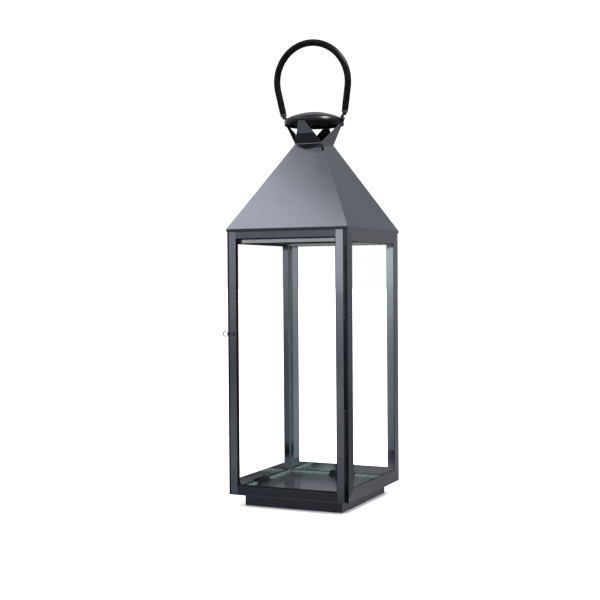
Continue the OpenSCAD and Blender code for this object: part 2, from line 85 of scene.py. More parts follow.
class Socket:
    """One output in a node tree. Arithmetic on it adds Math nodes, and node() adds any other node."""

    def __init__(self, tree, output=None):
        self.tree = tree
        self.output = output

    def node(self, kind, settings=None, inputs=None, output=0):
        made = self.tree.nodes.new(kind)
        for name, value in (settings or {}).items():
            if name == "stops":
                set_stops(made.color_ramp, value)
            else:
                setattr(made, name, value)
        for name, value in (inputs or {}).items():
            if isinstance(value, Socket):
                self.tree.links.new(value.output, made.inputs[name])
            else:
                made.inputs[name].default_value = value
        return Socket(self.tree, made.outputs[output])

    def math(self, operation, *values):
        return self.node("ShaderNodeMath", {"operation": operation}, dict(enumerate(values)))

    def __add__(self, other):
        return self.math("ADD", self, other)

    def __sub__(self, other):
        return self.math("SUBTRACT", self, other)

    def __rsub__(self, other):
        return self.math("SUBTRACT", other, self)

    def __mul__(self, other):
        return self.math("MULTIPLY", self, other)

    def __truediv__(self, other):
        return self.math("DIVIDE", self, other)

    def __pow__(self, other):
        return self.math("POWER", self, other)

    __radd__ = __add__
    __rmul__ = __mul__

    def ramp(self, low, high, out_low=0.0, out_high=1.0, smooth=True):
        kind = "SMOOTHSTEP" if smooth else "LINEAR"
        return self.node(
            "ShaderNodeMapRange",
            {"interpolation_type": kind},
            {0: self, 1: low, 2: high, 3: out_low, 4: out_high},
        )


def set_stops(ramp, stops):
    while len(ramp.elements) < len(stops):
        ramp.elements.new(0.5)
    for element, (place, colour) in zip(ramp.elements, stops):
        element.position = place
        element.color = colour


def grey(value, tint=0.0):
    """A grey with a little blue in it."""
    return (value * (1 - 0.4 * tint), value, value * (1 + tint), 1.0)


def blend(start, share, first, second, how="MIX"):
    """Colour between first and second."""
    settings = {"data_type": "RGBA", "blend_type": how}
    return start.node("ShaderNodeMix", settings, {0: share, 6: first, 7: second}, output=2)


def sky(start, stops, height):
    """A card graded from straight below to straight above."""
    return start.node("ShaderNodeValToRGB", {"stops": stops}, {0: height * 0.5 + 0.5})


def light_the_studio():
    """Graded cards for the metal to mirror, a pale fill for what scatters light, and white behind."""
    world = bpy.data.worlds.new("studio")
    bpy.context.scene.world = world
    world.use_nodes = True
    tree = world.node_tree
    tree.nodes.clear()
    start = Socket(tree)
    direction = start.node("ShaderNodeTexCoord", output="Generated")
    depth = start.node("ShaderNodeSeparateXYZ", inputs={0: direction}, output=1)
    height = start.node("ShaderNodeSeparateXYZ", inputs={0: direction}, output=2)
    overhead = height.ramp(*TOP_START)
    before = blend(start, overhead, sky(start, FRONT_SKY, height), sky(start, TOP_SKY, height))
    cards = blend(start, depth.ramp(*BACK_START), before, sky(start, BACK_SKY, height))
    scattered = start.node("ShaderNodeLightPath", output="Is Diffuse Ray")
    seen = start.node("ShaderNodeLightPath", output="Is Camera Ray")
    lit = blend(start, scattered, cards, (FILL, FILL, FILL, 1.0))
    colour = blend(start, seen, lit, (WHITE, WHITE, WHITE, 1.0))
    background = start.node("ShaderNodeBackground", inputs={"Color": colour, "Strength": 1.0})
    output = tree.nodes.new("ShaderNodeOutputWorld")
    tree.links.new(background.output, output.inputs["Surface"])


def add_lamp(name, place, target, size, watts):
    data = bpy.data.lights.new(name, "AREA")
    data.shape = "RECTANGLE"
    data.size, data.size_y = size
    data.energy = watts
    lamp = bpy.data.objects.new(name, data)
    bpy.context.scene.collection.objects.link(lamp)
    lamp.location = place
    lamp.rotation_euler = (Vector(target) - Vector(place)).to_track_quat("-Z", "Y").to_euler()
    lamp.visible_camera = False


# ---- materials ----

# Where the tone changes, with painted shade, painted highlights and painted reflections, on the hemmed
# posts, the front roof panel, the crown and the cap.
HEM_EDGE = HALF_Y - 0.6 * MM
LIP_TOP = 368.6 * MM
LIP_LINE = 367.1 * MM
NECK_SHADE_Z = 485.5 * MM
NECK_SHADE_HALF_X = 17.5 * MM
NECK_SHADE_HALF_Z = 8.5 * MM
COLLAR_FRONT = 20.4 * MM
LEG_SHADE_TOP = 499.0 * MM
LEG_UPPER_BAND = 498.3 * MM
LEG_LOWER_BAND = 489.0 * MM
CAP_RIM_TOP = 517.0 * MM


def new_material(name):
    material = bpy.data.materials.new(name)
    material.use_nodes = True
    tree = material.node_tree
    tree.nodes.clear()
    return material, Socket(tree)


def close_material(material, shader):
    output = material.node_tree.nodes.new("ShaderNodeOutputMaterial")
    material.node_tree.links.new(shader.output, output.inputs["Surface"])
    return material


def finish(name, build, **constants):
    """A material on one Principled shader: build returns the inputs that change over the surface."""
    material, start = new_material(name)
    named = {key.replace("_", " "): value for key, value in constants.items()}
    shader = start.node("ShaderNodeBsdfPrincipled", inputs={**named, **build(start)})
    return close_material(material, shader)


def plated(name, build):
    """A finish that is bare metal all over."""
    return finish(name, build, Metallic=1.0)


def noise(start, scale, detail=3.0, roughness=0.5, stretch=None):
    place = start.node("ShaderNodeTexCoord", output="Object")
    if stretch:
        place = start.node("ShaderNodeMapping", inputs={"Vector": place, "Scale": stretch})
    return start.node(
        "ShaderNodeTexNoise",
        inputs={"Vector": place, "Scale": scale, "Detail": detail, "Roughness": roughness},
        output="Fac",
    )


def place_of(start, axis):
    """One coordinate of the object, in metres: 0 is X, 1 is Y, 2 is Z."""
    place = start.node("ShaderNodeTexCoord", output="Object")
    return start.node("ShaderNodeSeparateXYZ", inputs={0: place}, output=axis)


def band(value, middle, half, soft):
    """1 within half of the middle, falling to 0 over soft on both sides."""
    return (value - middle).math("ABSOLUTE").ramp(half, half + soft, 1.0, 0.0)


def outer_side(place, half):
    """1 on a wall's outer side, 0 on its inner side; half is the place of the outer side."""
    return place.math("ABSOLUTE").ramp(half - 0.7 * MM, half - 0.3 * MM)


def bump(start, height, strength, distance):
    return start.node(
        "ShaderNodeBump",
        inputs={"Height": height, "Strength": strength, "Distance": distance},
        output="Normal",
    )


def polished_sheet(level, tint, haze=(0.05, 0.12), waviness=0.05):
    """Plated sheet: slow tone changes, faint wiping marks, a slight wave from folding."""
    def build(start):
        tone = noise(start, 7.0, 2.0)
        cloud = noise(start, 55.0, 5.0, 0.62)
        wipe = noise(start, 420.0, 4.0, 0.6, stretch=(1.0, 1.0, 0.06))
        wave = noise(start, 16.0, 1.0)
        speck = noise(start, 1500.0, 1.0)
        darker, paler = grey(level * 0.93, tint), grey(level * 1.06, tint * 0.6)
        colour = blend(start, tone.ramp(0.35, 0.65), darker, paler)
        colour = blend(start, speck.ramp(0.70, 0.78) * 0.35, colour, grey(level * 0.55, tint))
        return {
            "Base Color": colour,
            "Roughness": cloud.ramp(0.35, 0.70, *haze) + wipe.ramp(0.52, 0.70) * 0.05,
            "Normal": bump(start, wave, waviness, 0.004),
        }
    return build


def hemmed_sheet(low, high, tint, foot, head):
    """The front posts: stepped sheet, its graded tone a painted reflection, whose hemmed front edge is dark
    all the way up with painted shade.
    """
    def build(start):
        inputs = stepped_sheet(low, high, tint, foot, head)(start)
        # Painted shade: the hemmed front edge is darkened all the way up.
        front = (place_of(start, 1) * -1.0).ramp(HEM_EDGE, HEM_EDGE + 0.4 * MM)
        inputs["Base Color"] = blend(start, front * 0.85, inputs["Base Color"], grey(0.03, 0.25))
        return inputs
    return build


def roof_sheet(level, tint):
    """The front roof panel: dark under the neck with a painted reflection of the cap, and a turned-down lip
    darkened with painted shade, with a painted highlight as a paler line along its middle."""
    def build(start):
        inputs = polished_sheet(level, tint, (0.04, 0.09), 0.03)(start)
        height = place_of(start, 2)
        # The lip is painted dark as painted shade; the paler line along its middle is a painted highlight.
        lip = height.ramp(LIP_TOP, LIP_TOP + 0.5 * MM, 1.0, 0.0)
        line = band(height, LIP_LINE, 0.5 * MM, 0.4 * MM)
        # A round patch under the neck painted dark: a painted reflection of the cap.
        across = place_of(start, 0) / NECK_SHADE_HALF_X
        down = (height - NECK_SHADE_Z) / NECK_SHADE_HALF_Z
        shade = (across * across + down * down).ramp(0.90, 1.06, 1.0, 0.0)
        inputs["Base Color"] = blend(start, shade * 0.66, inputs["Base Color"], grey(0.03, 0.1))
        inputs["Base Color"] = blend(start, lip, inputs["Base Color"], grey(0.07, 0.1))
        inputs["Base Color"] = blend(start, line, inputs["Base Color"], (0.34, 0.31, 0.32, 1))
        return inputs
    return build


def inner_sheet(level, inner, tint):
    """Plated sheet that is only half as metallic, and so paler, on the side that faces the candle: the
    paler inner side is a painted reflection.
    """
    def build(start):
        inputs = polished_sheet(level, tint)(start)
        across = outer_side(place_of(start, 0), HALF_X)
        along = outer_side(place_of(start, 1), HALF_Y)
        outside = across.math("MAXIMUM", across, along)
        # Painted reflection: the inner side is paler and half as metallic.
        inputs["Base Color"] = blend(start, outside, grey(inner, 0.03), inputs["Base Color"])
        inputs["Metallic"] = outside * 0.5 + 0.5
        return inputs
    return build


def stepped_sheet(low, high, tint, foot, head):
    """Plated sheet whose tone goes from low at the height foot to high at the height head: a painted
    reflection.
    """
    def build(start):
        inputs = polished_sheet(1.0, 0.0, waviness=0.06)(start)
        # Painted reflection: the tone is graded from low at the foot to high at the head.
        rise = place_of(start, 2).ramp(foot, head)
        tone = blend(start, rise, grey(low, tint), grey(high, tint))
        inputs["Base Color"] = blend(start, 1.0, inputs["Base Color"], tone, how="MULTIPLY")
        return inputs
    return build


def crown_sheet(start):
    """The crown: its front leg is pale above, a painted reflection, and dark towards the neck, painted
    shade, with two darker lines across, a painted reflection of the roof's neck.
    """
    inputs = polished_sheet(0.36, 0.10)(start)
    height = place_of(start, 2)
    front = (place_of(start, 1) * -1.0).ramp(COLLAR_FRONT, COLLAR_FRONT + 0.8 * MM)
    low = height.ramp(LEG_SHADE_TOP - 1.4 * MM, LEG_SHADE_TOP, 1.0, 0.0)
    upper = band(height, LEG_UPPER_BAND, 0.4 * MM, 0.6 * MM)
    painted_reflection_bands = upper + band(height, LEG_LOWER_BAND, 0.2 * MM, 0.6 * MM)
    # Painted reflection above, painted shade towards the neck, and two painted reflections of the roof's
    # neck across the leg.
    colour = blend(start, front * (1 - low), inputs["Base Color"], grey(0.90, 0.06))
    colour = blend(start, front * low, colour, grey(0.22, 0.12))
    inputs["Base Color"] = blend(start, front * painted_reflection_bands, colour, grey(0.04, 0.1))
    return inputs


def bedded_glass(start):
    """The rear frame's plating seen through the pane on it. On the posts it is greener and paler, at the
    left towards the foot and at the right towards the head, a painted reflection, and the top rail is dull
    and dark."""
    inputs = polished_sheet(0.38, 0.09, waviness=0.06)(start)
    across = place_of(start, 0)
    height = place_of(start, 2)
    right = across.ramp(-20.0 * MM, 20.0 * MM)
    rise = height.ramp(30.0 * MM, 350.0 * MM, smooth=False)
    posts = across.math("ABSOLUTE").ramp(POST_EDGE - 0.5 * MM, POST_EDGE + 0.5 * MM)
    # Painted reflection: the posts are greener and paler towards the foot at the left and the head at the
    # right.
    pale = (right * rise + (1 - right) * (1 - rise)) * posts
    head = height.ramp(HEAD - 0.2 * MM, HEAD + 0.4 * MM)
    colour = blend(start, pale, inputs["Base Color"], (0.80, 0.92, 0.92, 1))
    inputs["Base Color"] = blend(start, head, colour, (0.24, 0.29, 0.28, 1))
    inputs["Metallic"] = 1 - head * 0.7
    return inputs


def enamel(start):
    """Near-black gloss on the cap, with a faint orange peel; the rim is painted blacker, painted shade,
    under a pale edge that is a painted highlight.
    """
    tone = noise(start, 22.0, 2.0)
    peel = noise(start, 700.0, 2.0)
    haze = noise(start, 70.0, 4.0)
    height = place_of(start, 2)
    # Painted shade: the rim below its top is blacker.
    rim = height.ramp(CAP_RIM_TOP - 0.6 * MM, CAP_RIM_TOP, 1.0, 0.0)
    # Painted highlight: a pale line just above the rim, where the edge rounds over.
    edge = band(height, CAP_RIM_TOP + 0.4 * MM, 0.3 * MM, 0.4 * MM)
    colour = blend(start, tone.ramp(0.3, 0.7), (0.060, 0.062, 0.072, 1), (0.095, 0.098, 0.112, 1))
    colour = blend(start, rim, colour, grey(0.014, 0.1))
    return {
        "Base Color": blend(start, edge, colour, grey(0.30, 0.03)),
        "Roughness": haze.ramp(0.3, 0.7, 0.20, 0.30),
        "Normal": bump(start, peel, 0.02, 0.0002),
    }


def matt_black(low, high):
    """Dusty black paint or rubber."""
    def build(start):
        dust = noise(start, 300.0, 4.0)
        return {
            "Base Color": blend(start, dust.ramp(0.45, 0.75), grey(low, 0.1), grey(high, 0.1)),
            "Roughness": dust.ramp(0.3, 0.7, 0.38, 0.60),
        }
    return build


def turned_steel(level, low, high):
    """Steel with fine tool marks along it; low and high are the ends of its roughness."""
    def build(start):
        lines = noise(start, 2400.0, 2.0, 0.5, stretch=(1.0, 1.0, 0.08))
        tone = noise(start, 60.0)
        return {
            "Base Color": blend(start, tone, grey(level * 0.85, 0.02), grey(level * 1.1, 0.02)),
            "Roughness": lines.ramp(0.3, 0.7, low, high),
        }
    return build


def grained_leather(start):
    """Oiled black leather: pebbled grain, fine cross creases, and a patchy painted highlight along the
    seam.
    """
    place = start.node("ShaderNodeTexCoord", output="Object")
    pebble = start.node(
        "ShaderNodeTexVoronoi",
        {"feature": "SMOOTH_F1"},
        {"Vector": place, "Scale": 900.0, "Smoothness": 0.6},
        output="Distance",
    )
    wrap = start.node("ShaderNodeUVMap", {"uv_map": "wrap"})
    run = start.node("ShaderNodeMapping", inputs={"Vector": wrap, "Scale": (3.0, 140.0, 1.0)})
    crease = start.node(
        "ShaderNodeTexNoise",
        inputs={"Vector": run, "Scale": 1.0, "Detail": 3.0},
        output="Fac",
    )
    around = start.node("ShaderNodeSeparateXYZ", inputs={0: wrap})
    seam = (around - SEAM_PLACE).math("ABSOLUTE").ramp(0.012, 0.045, 1.0, 0.0)
    wear_and_highlight = noise(start, 120.0, 4.0)
    height = pebble * 0.5 + crease * 0.5 - seam * 0.25
    colour = blend(start, wear_and_highlight.ramp(0.35, 0.7), (0.0008, 0.0008, 0.0011, 1), (0.0026, 0.0025, 0.0030, 1))
    # Painted highlight: a paler, patchy line along the seam.
    colour = blend(start, seam * wear_and_highlight.ramp(0.3, 0.7) * 0.8, colour, (0.030, 0.029, 0.030, 1))
    return {
        "Base Color": colour,
        "Roughness": wear_and_highlight.ramp(0.3, 0.7, 0.22, 0.34),
        "Normal": bump(start, height, 0.30, 0.0003),
    }


def waxed_thread(start):
    ply = noise(start, 1500.0, 2.0)
    return {
        "Base Color": blend(start, ply, (0.016, 0.016, 0.018, 1), (0.050, 0.048, 0.050, 1)),
        "Roughness": ply.ramp(0.3, 0.7, 0.45, 0.7),
    }


def green_edge(start):
    """The cut edge of float glass, where the light collects."""
    depth = noise(start, 90.0, 3.0, 0.5, stretch=(1.0, 1.0, 0.2))
    return {
        "Base Color": blend(start, depth, (0.060, 0.082, 0.080, 1), (0.110, 0.140, 0.135, 1)),
        "Roughness": depth.ramp(0.3, 0.7, 0.10, 0.30),
    }


def sealant(start):
    smear = noise(start, 160.0, 3.0)
    return {
        "Base Color": blend(start, smear, (0.055, 0.078, 0.075, 1), (0.105, 0.135, 0.130, 1)),
        "Roughness": smear.ramp(0.3, 0.7, 0.12, 0.32),
    }


def clear_pane():
    """Clear glass: what lies behind shows through, with a thin reflection and faint wiping marks."""
    material, start = new_material("clear_glass")
    smudge = noise(start, 9.0, 4.0, 0.6) * noise(start, 60.0, 3.0)
    through = start.node("ShaderNodeBsdfTransparent", inputs={"Color": (0.985, 0.995, 0.99, 1)})
    sheen = start.node(
        "ShaderNodeBsdfPrincipled",
        inputs={
            "Base Color": blend(start, smudge, (0.80, 0.84, 0.83, 1), (0.92, 0.95, 0.94, 1)),
            "Metallic": 1.0,
            "Roughness": smudge.ramp(0.1, 0.4, 0.03, 0.12),
        },
    )
    edge_on = start.node("ShaderNodeLayerWeight", inputs={"Blend": 0.5}, output="Facing")
    share = edge_on ** 4 * 0.30 + smudge.ramp(0.30, 0.48) * 0.012 + 0.012
    shader = start.node("ShaderNodeMixShader", inputs={0: share, 1: through, 2: sheen})
    return close_material(material, shader)


def floor_paint(start):
    tone = noise(start, 3.0)
    return {"Base Color": blend(start, tone, (0.91, 0.91, 0.91, 1), (0.94, 0.94, 0.94, 1))}


# ---- making by hand ----

def put_down():
    bpy.ops.object.select_all(action="DESELECT")


def take(kind, **settings):
    """A new primitive, alone in the selection and in edit mode."""
    put_down()
    getattr(bpy.ops.mesh, "primitive_" + kind + "_add")(**settings)
    bpy.ops.object.mode_set(mode="EDIT")
    return bpy.context.object


def pick(test, kind="VERT"):
    """Selects, in edit mode, the vertices or faces whose place and normal pass the test."""
    mesh = bmesh.from_edit_mesh(bpy.context.object.data)
    bpy.ops.mesh.select_mode(type=kind)
    bpy.ops.mesh.select_all(action="DESELECT")
    if kind == "FACE":
        chosen = [face for face in mesh.faces if test(face.calc_center_median(), face.normal)]
    else:
        chosen = [vertex for vertex in mesh.verts if test(vertex.co, vertex.normal)]
    for item in chosen:
        item.select_set(True)
    mesh.select_flush_mode()
    bmesh.update_edit_mesh(bpy.context.object.data)


def put_in_place(obj):
    """Leaves edit mode and moves the piece's place, turn and scale into its mesh."""
    bpy.ops.object.mode_set(mode="OBJECT")
    put_down()
    obj.select_set(True)
    bpy.context.view_layer.objects.active = obj
    bpy.ops.object.transform_apply(location=True, rotation=True, scale=True)


def modify(obj, kind, **settings):
    modifier = obj.modifiers.new(kind.lower(), kind)
    for name, value in settings.items():
        setattr(modifier, name, value)
    put_down()
    obj.select_set(True)
    bpy.context.view_layer.objects.active = obj
    bpy.ops.object.modifier_apply(modifier=modifier.name)


def smooth(obj, degrees):
    put_down()
    obj.select_set(True)
    bpy.context.view_layer.objects.active = obj
    bpy.ops.object.shade_smooth_by_angle(angle=math.radians(degrees))


def join(name, objs):
    put_down()
    for obj in objs:
        obj.select_set(True)
    bpy.context.view_layer.objects.active = objs[0]
    bpy.ops.object.join()
    objs[0].name = name
    return objs[0]


def fit_up(obj, name, body, slot, material, *nodes):
    """Names a finished piece, gives it its finish and hangs it on its body."""
    obj.name = name
    obj.data.materials.clear()
    obj.data.materials.append(material)
    if nodes:
        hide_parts(*nodes)
    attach(obj, body)


# ---- chimney cap ----

CAP_SIDES = 128
CAP_ROUNDING = 0.2 * MM
# (radius, height) of the cap's rings in mm, from its foot to near the middle of its top.
CAP_RINGS = [
    (40.42, 511.50), (40.60, 511.75), (40.60, 516.10), (40.48, 516.55), (40.30, 516.95),
    (40.22, 517.55), (40.02, 518.20), (39.60, 518.95), (38.90, 519.75), (37.80, 520.65), (36.20, 521.65),
    (34.00, 522.75), (31.20, 523.90), (28.00, 525.00), (24.40, 526.10), (20.60, 527.10), (16.80, 527.98),
    (13.00, 528.72), (9.40, 529.30), (6.00, 529.70), (2.90, 529.93),
]


def spun_cap():
    radius, height = CAP_RINGS[0]
    cap = take("circle", vertices=CAP_SIDES, radius=radius * MM, location=(0, 0, height * MM))
    bpy.ops.mesh.select_all(action="SELECT")
    for wider, higher in CAP_RINGS[1:]:
        bpy.ops.mesh.extrude_edges_move(TRANSFORM_OT_translate={"value": (0, 0, (higher - height) * MM)})
        scale = wider / radius
        bpy.ops.transform.resize(value=(scale, scale, 1.0))
        radius, height = wider, higher
    bpy.ops.mesh.edge_face_add()
    bpy.ops.mesh.poke()
    bpy.ops.mesh.select_all(action="SELECT")
    bpy.ops.mesh.normals_make_consistent(inside=False)
    put_in_place(cap)
    modify(cap, "SOLIDIFY", thickness=SHEET, offset=-1.0)
    modify(
        cap, "BEVEL", width=CAP_ROUNDING, segments=2,
        limit_method="ANGLE", angle_limit=math.radians(55),
    )
    smooth(cap, 40)
    return cap


# ---- leather grip ----

# The upright handle's centre line: two straight arms from the rivets, and a bend that they touch. ARM is
# an arm's length, TILT its lean outwards, SWEEP the bend's angle and WHOLE the run from rivet to rivet.
PIVOT = 519.0 * MM
ROD_X = 44.0 * MM
BEND_R = 52.6 * MM
BEND_RISE = 51.4 * MM
LEAN = math.radians(7)
REACH = math.hypot(ROD_X, BEND_RISE)
ARM = math.sqrt(REACH ** 2 - BEND_R ** 2)
TILT = math.atan2(BEND_RISE, ROD_X) - math.acos(BEND_R / REACH)
BEND = Vector((0, 0, PIVOT + BEND_RISE))
SWEEP = math.pi + 2 * TILT
WHOLE = 2 * ARM + BEND_R * SWEEP
GRIP_START = 7.1 * MM
GRIP_SIDES = 40
ARM_STEPS = 12
BEND_STEPS = 90
# (radius, distance from the leather's end), both in mm.
GRIP_ENDS = [
    (2.45, 0.0), (3.35, 0.02), (3.75, 0.35), (3.95, 1.2),
    (4.15, 3.0), (4.35, 5.0), (4.50, 7.4), (4.58, 9.4),
]
SEAM_SIDE = math.radians(128)
SEAM_PLACE = 0.5 + SEAM_SIDE / (2 * math.pi)
SEAM_STEP = 2 * math.pi / GRIP_SIDES
SEAM_RIDGE = 0.17 * MM
SEAM_GROOVE = -0.22 * MM


def arm_point(distance, side=1):
    """Point on the rod's centre line on one arm of the upright handle."""
    return Vector((side * (ROD_X + math.sin(TILT) * distance), 0, PIVOT + math.cos(TILT) * distance))


def run_of(place):
    """(length along the rod from the right rivet, angle round the rod from its outer side to the front)."""
    across = place - BEND
    turn = math.atan2(across.z, across.x)
    if -TILT <= turn <= math.pi + TILT:
        outward = Vector((math.cos(turn), 0, math.sin(turn)))
        return ARM + BEND_R * (turn + TILT), math.atan2(-place.y, across.dot(outward) - BEND_R)
    side = 1 if place.x > 0 else -1
    from_rivet = place - arm_point(0, side)
    along = from_rivet.dot(Vector((side * math.sin(TILT), 0, math.cos(TILT))))
    out = from_rivet.dot(Vector((side * math.cos(TILT), 0, -math.sin(TILT))))
    return (along if side == 1 else WHOLE - along), math.atan2(-place.y, out)


def wrap_map(obj):
    """A map of the grip: round it in u, along it in v, at one unit for ten centimetres."""
    layer = obj.data.uv_layers.new(name="wrap")
    for face in obj.data.polygons:
        found = [run_of(obj.data.vertices[i].co) for i in face.vertices]
        split = max(f[1] for f in found) - min(f[1] for f in found) > math.pi
        for loop, (length, angle) in zip(face.loop_indices, found):
            if split and angle < 0:
                angle += 2 * math.pi
            layer.data[loop].uv = (0.5 + angle / (2 * math.pi), length * 10)


def grip_ring(radius_now, radius_next, step):
    """Draws the open ring on by one step and gives it its next radius."""
    bpy.ops.mesh.extrude_edges_move(TRANSFORM_OT_translate={"value": step})
    scale = radius_next / radius_now
    bpy.ops.transform.resize(value=(scale, scale, scale))


def lean_back(obj):
    """Turns a piece made on the upright handle to the lean at which it rests."""
    pivot = Vector((0, 0, PIVOT))
    lean = Matrix.Translation(pivot) @ Matrix.Rotation(LEAN, 4, "X") @ Matrix.Translation(-pivot)
    obj.matrix_world = lean @ obj.matrix_world
    put_in_place(obj)


def leather_grip():
    """The leather tube: a tapered end, an arm, the bend, the other arm, and a raised seam all along."""
    up = Vector((math.sin(TILT), 0, math.cos(TILT)))
    down = Vector((math.sin(TILT), 0, -math.cos(TILT)))
    grip = take(
        "circle", vertices=GRIP_SIDES, radius=GRIP_ENDS[0][0] * MM,
        location=arm_point(GRIP_START), rotation=(0, TILT, 0),
    )
    bpy.ops.mesh.select_all(action="SELECT")
    radius, place = GRIP_ENDS[0]
    for wider, farther in GRIP_ENDS[1:]:
        grip_ring(radius, wider, up * (farther - place) * MM)
        radius, place = wider, farther
    left = ARM - GRIP_START - place * MM
    for _ in range(ARM_STEPS):
        grip_ring(1, 1, up * left / ARM_STEPS)
    bpy.ops.mesh.spin(steps=BEND_STEPS, angle=SWEEP, center=BEND, axis=(0, 1, 0))
    for _ in range(ARM_STEPS):
        grip_ring(1, 1, down * left / ARM_STEPS)
    for slimmer, farther in reversed(GRIP_ENDS[:-1]):
        grip_ring(radius, slimmer, down * (place - farther) * MM)
        radius, place = slimmer, farther
    bpy.ops.mesh.select_all(action="SELECT")
    bpy.ops.mesh.remove_doubles(threshold=0.01 * MM)
    bpy.ops.mesh.normals_make_consistent(inside=False)
    for offset, push in ((0, SEAM_RIDGE), (-1, SEAM_GROOVE), (1, SEAM_GROOVE)):
        angle = SEAM_SIDE + offset * SEAM_STEP
        pick(lambda co, normal: abs(run_of(co)[1] - angle) < SEAM_STEP * 0.4)
        bpy.ops.transform.shrink_fatten(value=push)
    put_in_place(grip)
    wrap_map(grip)
    smooth(grip, 60)
    lean_back(grip)
    return grip


def on_grip(length, angle, radius):
    """(place, direction along the rod, direction outwards) on the upright handle's surface."""
    if length < ARM:
        centre = arm_point(length)
        along = Vector((math.sin(TILT), 0, math.cos(TILT)))
        out = Vector((math.cos(TILT), 0, -math.sin(TILT)))
    elif length > WHOLE - ARM:
        centre = arm_point(WHOLE - length, -1)
        along = Vector((math.sin(TILT), 0, -math.cos(TILT)))
        out = Vector((-math.cos(TILT), 0, -math.sin(TILT)))
    else:
        turn = (length - ARM) / BEND_R - TILT
        out = Vector((math.cos(turn), 0, math.sin(turn)))
        along = Vector((-math.sin(turn), 0, math.cos(turn)))
        centre = BEND + out * BEND_R
    outward = out * math.cos(angle) + Vector((0, -1, 0)) * math.sin(angle)
    return centre + outward * radius, along, outward


def copy_of(obj, matrix):
    """A copy with its own mesh."""
    made = obj.copy()
    made.data = obj.data.copy()
    made.matrix_world = matrix
    bpy.context.scene.collection.objects.link(made)
    return made


def placed(place, along, outward):
    """Matrix that sets a piece's X along one direction and its Z along another."""
    side = outward.cross(along)
    return Matrix((
        (along.x, side.x, outward.x, place.x),
        (along.y, side.y, outward.y, place.y),
        (along.z, side.z, outward.z, place.z),
        (0, 0, 0, 1),
    ))


STITCH_THREAD = 0.24 * MM
STITCH_STRETCH = 0.75 * MM
STITCH_PITCH = 3.2 * MM
STITCH_LINE = 4.32 * MM
SEAM_END = 19.0 * MM


def seam_stitches():
    """One waxed stitch, laid over and over in the groove at the front of the seam's ridge."""
    stitch = take(
        "uv_sphere", segments=8, ring_count=6, radius=STITCH_THREAD, rotation=(0, math.pi / 2, 0))
    pick(lambda co, normal: co.x > 0.1 * MM)
    bpy.ops.transform.translate(value=(STITCH_STRETCH, 0, 0))
    pick(lambda co, normal: co.x < -0.1 * MM)
    bpy.ops.transform.translate(value=(-STITCH_STRETCH, 0, 0))
    put_in_place(stitch)
    smooth(stitch, 60)
    count = int((WHOLE - 2 * SEAM_END) / STITCH_PITCH)
    first = (WHOLE - (count - 1) * STITCH_PITCH) / 2
    made = []
    for i in range(count):
        spot = on_grip(first + i * STITCH_PITCH, SEAM_SIDE - SEAM_STEP, STITCH_LINE)
        made.append(copy_of(stitch, placed(*spot)))
    bpy.data.objects.remove(stitch)
    stitches = join("seam_stitches", made)
    put_in_place(stitches)
    lean_back(stitches)
    return stitches


BINDING_START = GRIP_START + 1.3 * MM
BINDING_PITCH = 0.72 * MM
BINDING_RADIUS = 4.02 * MM
BINDING_SPREAD = 0.08 * MM
BINDING_THREAD = 0.34 * MM
BINDING_SLANT = 0.30 * MM


def thread_binding():
    """Four turns of waxed thread round both ends of the leather, each wider than the last and slanted."""
    turns = []
    for end in (0, 1):
        for i in range(4):
            length = BINDING_START + BINDING_PITCH * i
            place, along, outward = on_grip(length if end == 0 else WHOLE - length, 0, 0)
            turn = take(
                "torus", major_radius=BINDING_RADIUS + BINDING_SPREAD * i, minor_radius=BINDING_THREAD,
                major_segments=40, minor_segments=8,
            )
            pick(lambda co, normal: co.x > 0.0)
            bpy.ops.transform.translate(value=(0, 0, BINDING_SLANT))
            bpy.ops.object.mode_set(mode="OBJECT")
            turn.matrix_world = placed(place, outward, along)
            smooth(turn, 80)
            turns.append(turn)
    binding = join("thread_binding", turns)
    put_in_place(binding)
    lean_back(binding)
    return binding


# ---- panes ----

BEDDING = 0.1 * MM
GROUND_EDGE = 0.3 * MM
SIDE_WINDOW = (-HALF_Y + POST_W, HALF_Y - POST_W)
REAR_WINDOW = (-POST_EDGE, POST_EDGE)


def cut_pane(node, thin, bedded):
    """A pane with ground, greenish edges. thin is its thickness's axis. The outer face of a bedded pane
    is split along the window, and what lies on the frame shows the frame's plating."""
    low, high = (Vector(corner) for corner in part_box(node))
    size = high - low
    size[thin] -= 2 * BEDDING
    pane = take("cube", size=1.0, location=(low + high) / 2)
    bpy.ops.mesh.select_all(action="SELECT")
    bpy.ops.transform.resize(value=size)
    bpy.ops.mesh.bevel(offset=GROUND_EDGE, segments=2, affect="EDGES")
    outward = 1 if (low + high)[thin] > 0 else -1
    window = {1 - thin: SIDE_WINDOW if thin == 0 else REAR_WINDOW, 2: (FOOT_TOP, HEAD)}
    if bedded:
        for axis, ends in window.items():
            for end in ends:
                pick(lambda co, normal: normal[thin] * outward > 0.99, "FACE")
                point, across = Vector(), Vector()
                point[axis], across[axis] = end, 1.0
                bpy.ops.mesh.bisect(plane_co=point, plane_no=across)
    put_in_place(pane)
    for material in (GLASS, GLASS_EDGE, BEDDED if thin == 1 else SIDE_BEDDED):
        pane.data.materials.append(material)
    pane.visible_glossy = False
    pane.visible_diffuse = False
    pane.visible_shadow = False
    for face in pane.data.polygons:
        if abs(face.normal[thin]) < 0.99:
            face.material_index = 1
        elif bedded and face.normal[thin] * outward > 0:
            inside = all(ends[0] < face.center[axis] < ends[1] for axis, ends in window.items())
            face.material_index = 0 if inside else 2
        else:
            face.material_index = 0
    return pane


SHADE_STRIP_ROUNDING = 0.12 * MM


